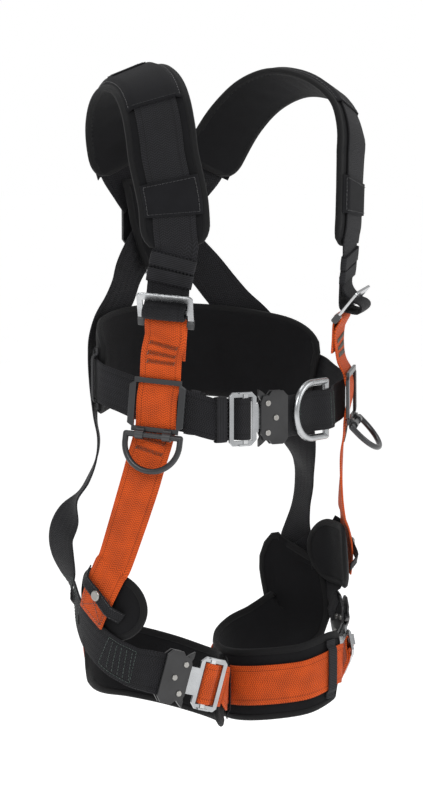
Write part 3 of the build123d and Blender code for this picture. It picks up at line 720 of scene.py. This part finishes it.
def fill_pads():
    """Blows every pad up a little between its sewn lines, and keeps the result as its mesh."""
    scene = bpy.context.scene
    for pad in pads:
        cloth = pad.obj.modifiers.new("fill", "CLOTH")
        cloth.settings.use_pressure = True
        cloth.settings.uniform_pressure_force = 4.0
        cloth.settings.effector_weights.gravity = 0.0
        cloth.settings.vertex_group_mass = "sewn"
        cloth.settings.quality = 4
        cloth.point_cache.frame_start = 1
        cloth.point_cache.frame_end = 20
    for number in range(1, 21):
        scene.frame_set(number)
    view = bpy.context.evaluated_depsgraph_get()
    for pad in pads:
        swollen = [v.co.copy() for v in pad.obj.evaluated_get(view).data.vertices]
        pad.obj.modifiers.clear()
        for vertex, target in zip(pad.obj.data.vertices, swollen):
            move = target - vertex.co
            limit = pad.rise * MM
            if move.length > limit:
                move = move.normalized() * limit
            vertex.co += move
    scene.frame_set(1)
    for pad in pads:
        smooth = pad.obj.modifiers.new("smooth", "SUBSURF")
        smooth.levels = smooth.render_levels = 1
        pad.binding()


# ---- small soft pieces ---------------------------------------------------------------------------
def elastic_loop(shape, where, length, inner_t, centre_z=0.0, wall=1.6, inner_w=WEB_W + 1.0, teeth=1.1):
    """A ribbed elastic loop round webbing, its cut edges slightly toothed. x runs along the webbing."""
    half_w, half_t, corner = inner_w / 2 + wall / 2, inner_t / 2 + wall / 2, min(inner_t / 2 + wall / 2, 2.6)
    outline = []
    for cx, cy, start in ((1, 1, 0), (-1, 1, 90), (-1, -1, 180), (1, -1, 270)):
        for k in range(5):
            t = radians(start + 90 * k / 4)
            y, z = cx * (half_w - corner), cy * (half_t - corner)
            outline.append((y + corner * cos(t), z + corner * sin(t)))
        if start in (0, 180):  # the long flat faces
            y, z = outline[-1]
            far = -cx * (half_w - corner)
            outline += [(y + (far - y) * k / 22, z) for k in range(1, 22)]
    count = len(outline)
    columns = 9
    rings, uvs, travelled = [], [], 0.0
    for k, (y, z) in enumerate(outline):
        before, after = outline[k - 1], outline[(k + 1) % count]
        d = Vector((after[0] - before[0], after[1] - before[1])).normalized()
        out = Vector((d.y, -d.x))
        tooth = teeth * (0.5 if k % 2 else -0.5)
        ring, row = [], []
        for face in (1, -1):
            for m in range(columns + 1):
                t = m / columns * 2 - 1
                x = face * t * (length / 2 + (tooth if abs(t) > 0.99 else 0.0))
                puff = 0.22 * cos(t * pi / 2)
                off = face * (wall / 2 + (puff if face > 0 else 0.0))
                ring.append(where @ Vector((x, y + out.x * off, z + centre_z + out.y * off)))
                row.append((travelled * MM, x * MM))
        rings.append(ring)
        uvs.append(row)
        travelled += (Vector(after) - Vector((y, z))).length
    shape.rings(rings, uvs, closed=True)


def bridge_loop(shape, where, width, low, high):
    """An elastic loop over flat webbing, sewn down beyond both edges; x runs across the webbing."""
    reach = WEB_W / 2
    half = [(reach + 11, low), (reach + 4.6, low), (reach + 2.8, (low + high) / 2), (reach - 0.2, high)]
    line = [(-x, z) for x, z in half] + [(-8, high + 0.3), (8, high + 0.3)] + half[::-1]
    Strap(in_plane(where, line), width, 1.2, 2.0, 0.0, 0.0).into(shape, 8)


# ---- build: belt ---------------------------------------------------------------------------------
def receiver_strap(where):
    """Stations from a strap's sewn end, round the receiver's rear bar and away on top."""
    rows = [
        (39, -7.6, 0, -1), (36, -6.6, 0, -1), (30, -6.2, 0, -1), (26.4, -5.2, -0.7, -0.7),
        (25.6, -3.3, -1, 0),
        (26.6, -1.4, -0.7, 0.7), (30, -0.5, 0, 1), (34, -1.0, 0.2, 1), (39, -3.2, 0.4, 1), (44, -5.4, 0.4, 1),
    ]
    turn = where.to_3x3()
    return [(where @ Vector((x, 0, z)), (turn @ Vector((nx, 0, nz))).normalized()) for x, z, nx, nz in rows]


def frame_loop(neck, droop, tail):
    """The strap's end in side view: under the end bar, over the clamping bar, back below itself."""
    far = -41 - tail + 8
    incoming = [(far, -2.9 - droop), (-33.5, -2.9), (-29, -2.9), (-25.2, -2.8), (-22.2, 0.3), (-20, 3.0)]
    over = [(-17.5, 3.9), (-11, 3.9), (-9.2, 3.2), (-8.5, 1.5), (-8.5, -0.8), (-9.3, -2.6)]
    back = [(-12, -3.9), (-16, -4.5), (-22, -5.3), (-29, -5.4), (-33.5, -5.4), (far, -5.4 - droop)]
    return [(x - neck, z) for x, z in incoming + over + back]


def strap_end(prefix, where, neck, droop, tail, colour, slot):
    """The strap's end round the slider bar."""
    strap = Strap(in_plane(where, frame_loop(neck, droop, tail)), WEB_W, WEB_T, 1.5, 0.0, 0.0)
    node = f"{prefix}_strap_end"
    strap.make(f"{node}_webbing", colour, f"{prefix}_slider", [node], slot)


green, olive, black_sewn = Shape(), Shape(), Shape()

point, normal = trunk(-6.0, belt_height(-6.0), 8.0)
belt_frame = plane(point, Vector((0, 0, 1)).cross(normal), normal)
around = [(19, 0.8), (24, 0.2), (28, 1.2), (31, 5.2), (34, 9.2), (38, 9.2), (41, 5.2), (45, 0.8)]
belt_points = receiver_strap(belt_frame) + [belt_point(angle, extra) for angle, extra in around]
belt_points += [belt_point(angle, 0) for angle in range(50, 320, 5)]
belt_points += [belt_point(angle, extra) for angle, extra in ((322, 0), (325, 0.6), (327.2, 1.3))]
belt = Strap(belt_points, crown=0.3)
belt.make("belt_webbing_woven", black_webbing, "harness", ["belt_webbing"], "black_webbing")
for angle in (21.5, 24.0, 43.5, 46.0):
    centre = belt.at_angle(angle)
    seam(green, belt, [(centre, -19), (centre, 19)])
for angle in (-58, -52):
    centre = belt.at_angle(angle)
    seam(black_sewn, belt, [(centre, -19), (centre, 19)])
strap_end("belt", belt_frame, 4.0, 0.0, 5.5, black_webbing, "black_webbing")

turn = belt_frame.to_3x3()
fold = [belt_point(angle, 2.6) for angle in (302, 308, 314, 320)]
inner = ((-50, -3.6), (-40, -3.4), (-36, -3.4))
fold += [(belt_frame @ Vector((x, 0, z)), turn @ Vector((0, 0, 1))) for x, z in inner]
free_end = Strap(fold, 44.0, 2.0, 2.5, 0.2, 0.2)
piece = free_end.make("belt_free_end", black_webbing, "harness", (), "black_webbing", ride=False)
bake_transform(piece)

loops = Shape()
elastic_loop(loops, belt_frame @ Matrix.Translation((-45.2, 0, 0)), 12.5, 5.4, -4.15)
loops.make("belt_keeper_elastic", elastic_black, "belt_slider", ["belt_keeper"], "elastic")
loops = Shape()
elastic_loop(loops, station_plane(belt_points, -3), 10.0, 4.2, 0.0, 1.0)
loops.make("belt_sleeve_elastic", elastic_black, "harness", ["belt_sleeve"], "elastic")
loops = Shape()
for angle in (-102.5, 102.5):
    point, normal = belt_point(angle, 0)
    bridge_loop(loops, plane(point, Vector((0, 0, 1)), normal), 12, -1.2, 3.6)
loops.make("lumbar_loops_elastic", elastic_black, "harness", ["lumbar_loops"], "elastic")

lumbar = [belt_point(angle, -7.0) for angle in range(98, 263, 6)]
lumbar_width = rounded_ends(105.0, path_length(lumbar), 60, 0.5)
Pad("lumbar_cushion", strap_grid(lumbar, lumbar_width, 21, 5.5), 9.0, ["lumbar_pad"], (27.0,), 1.8)

# ---- build: shoulders ----------------------------------------------------------------------------
PAD_LIFT, WEB_LIFT = 5.5, 6.3
SHOULDER = [  # over the top and down the back, set for the left: point, outward normal
    ((121, -65, 327), (0.57, -0.71, 0.41)),
    ((116, -41, 347), (0.48, -0.52, 0.71)),
    ((109, -8, 358), (0.40, -0.16, 0.90)),
    ((102, 28, 359), (0.34, 0.20, 0.92)),
    ((93, 66, 346), (0.27, 0.60, 0.75)),
    ((83, 96, 321), (0.21, 0.86, 0.47)),
    ((72, 114, 291), (0.16, 0.97, 0.16)),
    ((60, 121, 262), (0.12, 0.99, 0.02)),
]
BIGHT = [  # the shoulder webbing in the adjuster, side view in the adjuster's frame
    (34, 4.0), (27.5, 7.5), (23, 12.4), (19.9, 16.7), (18.0, 22.5), (14.5, 26.4), (10, 26.2), (6.6, 22.5),
    (6.4, 17), (7.4, 11), (7.9, 6.8), (9.6, 3.2), (14, 1.2), (22, 0.6), (38, 0.2), (46, -0.4),
]


def adjuster_frame_of(side):
    """x runs up the strap from the adjuster's lower bar, z outwards."""
    s = SIDES[side]
    low, normal = trunk(s * 49.6, 100, 9.0)
    high, _ = trunk(s * 47.6, 140, 9.0)
    return plane(low, high - low, normal)


def build_shoulder(side):
    s = SIDES[side]
    rows = [trunk(s * (42.5 + (z - 178) * 0.012), z, PAD_LIFT) for z in (178, 200, 225, 250, 275, 300)]
    route = rows + mirrored(SHOULDER, side)
    fine = free_path(route, 2)
    grid = strap_grid(route, rounded_ends(72.0, path_length(fine), 26), 15, 5.0)
    Pad(f"{side}_shoulder_cushion", grid, 9.0, [f"{side}_shoulder_pad"], (27.0,), 1.8)
    over = lifted(fine, WEB_LIFT)
    chest = ((47.6, 140, 12.4), (46.6, 148, 12.3), (44.6, 164, 12.1))
    top = [trunk(s * angle, z, off) for angle, z, off in chest]
    tail = mirrored([((44, 130.6, 242), (0.08, 1, 0)), ((31, 131.6, 226), (0.05, 1, 0))], side)
    where = adjuster_frame_of(side)
    line = list(reversed(top + over + tail)) + in_plane(where, BIGHT, -1)
    strap = Strap(line, crown=0.4, step=2.5)
    covered = [f"{side}_shoulder_webbing", f"{side}_adjuster_webbing"]
    obj = strap.make(f"{side}_shoulder_woven", black_webbing, "harness", covered, "black_webbing", ride=False)
    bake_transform(obj)
    webbing_route = top + over
    loops = Shape()
    for station in (1, 2):
        elastic_loop(loops, station_plane(webbing_route, station), 14.5, 3.4, teeth=1.8)
    loops.make(f"{side}_shoulder_keepers_elastic", elastic_black, "harness", ["shoulder_keepers"], "elastic")
    sleeve = Strap(lifted(over[12:27], 2.1), 60.0, 1.2, 4.0, 0.3, 0.5, (24.0, 4.6))
    sleeve.make(f"{side}_pad_sleeve", sleeve_cloth, "harness", ["pad_sleeves"], "pad_fabric")
    ends = (4.0, sleeve.length[-1] - 4.0)
    for across in (-28, 28):
        seam(black_sewn, sleeve, [(ends[0], across), (ends[1], across)], 0.7)
    seam(black_sewn, sleeve, [(ends[0], -24), (ends[0], 24)], 0.7)
    tab = Strap(lifted(over[3:7], 2.1), 62.0, 1.4, 4.0, 0.3, 0.3, (25.0, 4.4))
    tab.make(f"{side}_pad_tab", sleeve_cloth, "harness", ["pad_tabs"], "pad_fabric")
    stitch_box(black_sewn, tab, 3.0, tab.length[-1] - 3.0, 27.5, 0.8, cross=False)
    loop = Strap(lifted(over[17:19], 3.6), 40.0, 1.2, 3.0, 0.0, 0.3)
    loop.make(f"{side}_top_loop", black_webbing, "harness", ["shoulder_loops"], "black_webbing")
    for along in (3.0, loop.length[-1] - 3.0):
        bartack(black_sewn, loop, along, 34.0, 2.6, 0.75)


# ---- build: side straps --------------------------------------------------------------------------
def build_side(side):
    s, where, hip = SIDES[side], adjuster_frame_of(side), HIP_Z[side]
    turn = where.to_3x3()
    loop = [
        (-40, -4.4, 0, -1), (-24, -4.4, 0, -1), (-10, -4.6, 0, -1), (-3.4, -4.2, -0.4, -1),
        (1.8, -3.9, 0.5, -0.85),
        (4.5, 0, 1, 0), (2.4, 3.9, 0.5, 0.85), (-2.4, 4.2, -0.3, 1), (-9, 1.0, -0.4, 1), (-16, -1.2, -0.1, 1),
    ]
    points = [(where @ Vector((x, 0, z)), (turn @ Vector((nx, 0, nz))).normalized()) for x, z, nx, nz in loop]
    stand = LEFT_STAND_OFF if side == "left" else 0.0
    mid = [
        (52.4, 66, 7.6, 0.05), (53.4, 50, 6.6, 0.4), (54.0, 38, 5.8, 1), (54.6, 30, 7.6, 1),
        (55.3, 20, 10.4, 1),
        (55.9, 6, 10.6, 1), (56.4, -6, 8.2, 1), (56.9, -16, 6.0, 1), (58.2, -30, 5.4, 0.85),
        (60.2, -52, 5.2, 0.35),
        (62.8, -82, 5.2, 0.05),
    ]
    points += [trunk(s * angle, z, off + stand * share) for angle, z, off, share in mid]
    low = [
        (-9.5, 54, 6.6), (-7.5, 42, 9.6), (-4.6, 25, 11.8), (-2.0, 12, 12.6), (0.6, 1, 13.0), (4.2, -14, 13.4),
    ]
    points += [trunk(s * (HIP_ANGLE + da), hip + dz, off) for da, dz, off in low]
    strap = Strap(points, crown=0.5)
    strap.make(f"{side}_side_woven", orange_webbing, "harness", [f"{side}_side_strap"], "orange_webbing")
    for z in (73, 64, 55):
        bartack(olive, strap, strap.last_above(z))
    for z in (-29, -39):
        bartack(olive, strap, strap.last_above(z))
    end = strap.length[-1]
    stitch_box(black_sewn, strap, end - 34, end - 4, 19)


# ---- build: back ---------------------------------------------------------------------------------
def build_back_strap(side):
    s, hip = SIDES[side], HIP_Z[side]
    rows = [
        (172, 180, 12.4), (166, 162, 12.4), (160, 144, 12.2), (154, 124, 10), (147, 104, 10.5),
        (138, 84, 14.2),
        (131, 64, 17.2), (126, 46, 17.4), (122, 26, 17.4), (118.5, 6, 16.4), (115, -14, 13.4), (113, -34, 7),
        (112, -55, 5),
    ]
    if side == "right":
        rows += [(112.5, -76, 9), (114, -98, 20)]
    low = [(33, 88, 30), (34, 66, 36), (35, 44, 32), (36, 22, 24), (36, 4, 18.6), (34, -10, 17.8)]
    points = [trunk(s * angle, z, off) for angle, z, off in rows]
    for (da, dz, off), turn in zip(low, (34, 42, 42, 30, 8, 0)):
        point, normal = trunk(s * (HIP_ANGLE + da), hip + dz, off)
        points.append((point, Matrix.Rotation(radians(-s * turn), 3, "Z") @ normal))
    strap = Strap(points, crown=0.5)
    strap.make(f"{side}_back_woven", black_webbing, "harness", [f"{side}_back_strap"], "black_webbing")
    end = strap.length[-1]
    stitch_box(green, strap, end - 30, end - 4, 19)
    stitch_box(green, strap, 6, 30, 19)


yoke = [(z, 180, 12 + (z - 150) * 0.075) for z in range(150, 251, 5)]
Pad("yoke_cushion", level_grid(yoke, 15, PAD_LIFT), 9.0, ["yoke_pad"], (), 1.6)


# ---- build: hips and legs ------------------------------------------------------------------------
def leg_frame(side):
    """The buckle's frame: on the front of the right thigh, on the outer side of the left one."""
    s = SIDES[side]
    angle, z, slope = (3, -289, 17) if side == "right" else (69, -275, 50)
    middle, normal = thigh(side, s * angle, z, 9.0)
    outward = Vector((0, 0, 1)).cross(normal) * s
    x_dir = outward * cos(radians(slope)) + Vector((0, 0, 1)) * sin(radians(slope))
    return plane(middle + x_dir * 6, x_dir, normal)


def leg_band(side, off):
    """The leg band's route, from the buckle round the inside of the thigh to the hip."""
    s, hip = SIDES[side], HIP_Z[side]
    rows = [(37, -299), (28, -298), (8, -303), (-14, -309)] if side == "left" else [(-40, -304)]
    rows += [(-50, -314), (-80, -318), (-110, -317), (-140, -310), (-170, -300)]
    rows += [(-198, -290), (-218, -276), (-232, -258)]
    points = [thigh(side, s * angle, z, off) for angle, z in rows]
    return points + [trunk(s * (HIP_ANGLE + 37), hip - 22, off), trunk(s * (HIP_ANGLE + 33), hip - 2, off)]


def build_hip(side):
    s, hip = SIDES[side], HIP_Z[side]
    tall, reach, steps = 37.0, 27, 18
    turns = [k / steps * pi / 2 for k in range(-steps, steps + 1)]
    rows = [(hip + tall * sin(t), s * HIP_ANGLE, reach * (0.3 + 0.7 * cos(t))) for t in turns]
    Pad(f"{side}_hip_cushion", level_grid(rows, 17, 4.0), 6.0, ["hip_pads"], (), 1.3, 1.4)
    tab = [
        (9, 37, 9.4), (7, 33.5, 14), (4, 27, 19.2), (-3, 13, 16.8), (-10, -1, 18.8), (-13, -7, 14),
        (-15, -11, 9.4),
    ]
    route = [trunk(s * (HIP_ANGLE + da), hip + dz, off) for da, dz, off in tab]
    strap = Strap(route, 14.0, 1.6, 2.0, 0.0, 0.0)
    strap.make(f"{side}_hip_tab", black_webbing, "harness", ["hip_tabs"], "black_webbing")
    for across in (-5.4, 5.4):
        seam(black_sewn, strap, [(3, across), (strap.length[-1] - 3, across)], 0.85)


def build_leg(side):
    s, hip = SIDES[side], HIP_Z[side]
    band = leg_band(side, 4.5)
    width = rounded_ends(80.0, path_length(free_path(band, 3)), 24, 0.6)
    Pad(f"{side}_leg_cushion", strap_grid(band, width, 17, 5.0), 7.0, [f"{side}_leg_pad"], (27.0,), 1.4, 1.5)
    web = Strap(leg_band(side, 10.6)[:-1], crown=0.5)
    web.make(f"{side}_leg_woven", orange_webbing, "harness", [f"{side}_leg_webbing"], "orange_webbing")
    where = leg_frame(side)
    if side == "right":
        rows, lifts = [(112, hip + 2), (103, hip - 16), (93, hip - 32)], (14.4, 12.2, 10.6)
        onward = [(82, -252, 12.4), (68, -263, 11), (57, -269, 10.6), (48, -273, 12.2)]
    else:
        rows, lifts = [(116, hip + 6), (110, hip - 12), (104, hip - 28)], (16.4, 14.4, 12.4)
        onward = [(98, -222, 12.5)]
    points = [trunk(s * angle, z, lift) for (angle, z), lift in zip(rows, lifts)]
    points += [thigh(side, s * angle, z, off) for angle, z, off in onward]
    points += list(reversed(receiver_strap(where)))
    strap = Strap(points, crown=0.4, step=2.5)
    strap.make(f"{side}_leg_strap_woven", black_webbing, "harness", [f"{side}_leg_strap"], "black_webbing")
    end = strap.length[-1]
    if side == "right":
        for k in range(5):
            along = end - 62 - 7 * k
            seam(green, strap, [(along, -16), (along + 5, 16)])
        stitch_box(green, strap, end - 96, end - 56, 18, cross=False)
    stitch_box(green, strap, 4, 30, 19)
    strap_end(f"{side}_leg", where, 12.0, 2.4, 7.0, orange_webbing, "orange_webbing")
    band_angle = -62 if side == "right" else 17
    point, normal = thigh(side, s * band_angle, -315.5 if side == "right" else -300.5, 10.6)
    loops = Shape()
    bridge_loop(loops, plane(point, Vector((0, 0, 1)), normal), 15, -0.9, 2.3)
    loops.make(f"{side}_leg_keeper_elastic", elastic_black, "harness", ["leg_keepers"], "elastic")


for side in SIDES:
    build_shoulder(side)
    build_side(side)
    build_back_strap(side)
    build_hip(side)
    build_leg(side)
olive.make("olive_bartacks", olive_thread, "harness")
green.make("green_stitching", green_thread, "harness")
black_sewn.make("black_stitching", black_thread, "harness")
fill_pads()

# ---- stage ---------------------------------------------------------------------------------------
low_z = cad_box[0][2]
bpy.ops.mesh.primitive_plane_add(size=300, location=(0, 0, low_z - 0.30))
floor = bpy.context.object
floor.name = "floor"
paint = Finish("floor_paint", Roughness=0.9)
speckle = paint.noise(paint.place(False), 3.0)
paint.link("Base Color", paint.ramp(speckle, [(0.3, (0.86, 0.86, 0.86)), (0.7, (0.9, 0.9, 0.9))]))
paint.shader.inputs["Emission Color"].default_value = (1, 1, 1, 1)
paint.shader.inputs["Emission Strength"].default_value = 0.45
floor.data.materials.append(paint.mat)

world = bpy.data.worlds.new("studio")
bpy.context.scene.world = world
world.use_nodes = True
sky = world.node_tree
sky.nodes["Background"].inputs["Color"].default_value = (1, 1, 1, 1)
seen = sky.nodes.new("ShaderNodeLightPath").outputs["Is Camera Ray"]
power = sky.nodes.new("ShaderNodeMapRange")
power.inputs["To Min"].default_value, power.inputs["To Max"].default_value = 0.62, 1.0
sky.links.new(seen, power.inputs["Value"])
sky.links.new(power.outputs["Result"], sky.nodes["Background"].inputs["Strength"])


def area_light(name, place, target, size, power):
    """A soft square light aimed at a point."""
    light = bpy.data.lights.new(name, "AREA")
    light.size, light.energy = size, power
    obj = bpy.data.objects.new(name, light)
    obj.location = place
    obj.rotation_euler = (Vector(target) - Vector(place)).to_track_quat("-Z", "Y").to_euler()
    bpy.context.scene.collection.objects.link(obj)


area_light("key", (-1.5, -1.9, 1.6), (0, 0, 0.05), 1.2, 30)
area_light("fill", (1.7, -1.5, 0.8), (0, 0, 0.0), 1.4, 13)
area_light("top", (0.0, 0.6, 2.2), (0, 0, 0.1), 1.4, 16)

AZIMUTH, ELEVATION, DISTANCE = radians(-32.0), radians(6.0), 2.3
TARGET = Vector((-0.0081, 0.0050, 0.005))
back = Vector((sin(AZIMUTH) * cos(ELEVATION), -cos(AZIMUTH) * cos(ELEVATION), sin(ELEVATION)))
lens = bpy.data.cameras.new("camera")
lens.sensor_fit, lens.sensor_height, lens.lens = "VERTICAL", 36.0, 92.4
camera = bpy.data.objects.new("camera", lens)
camera.location = TARGET + back * DISTANCE
camera.rotation_euler = (-back).to_track_quat("-Z", "Y").to_euler()
bpy.context.scene.collection.objects.link(camera)
bpy.context.scene.camera = camera
bpy.context.scene.view_settings.view_transform = "Standard"
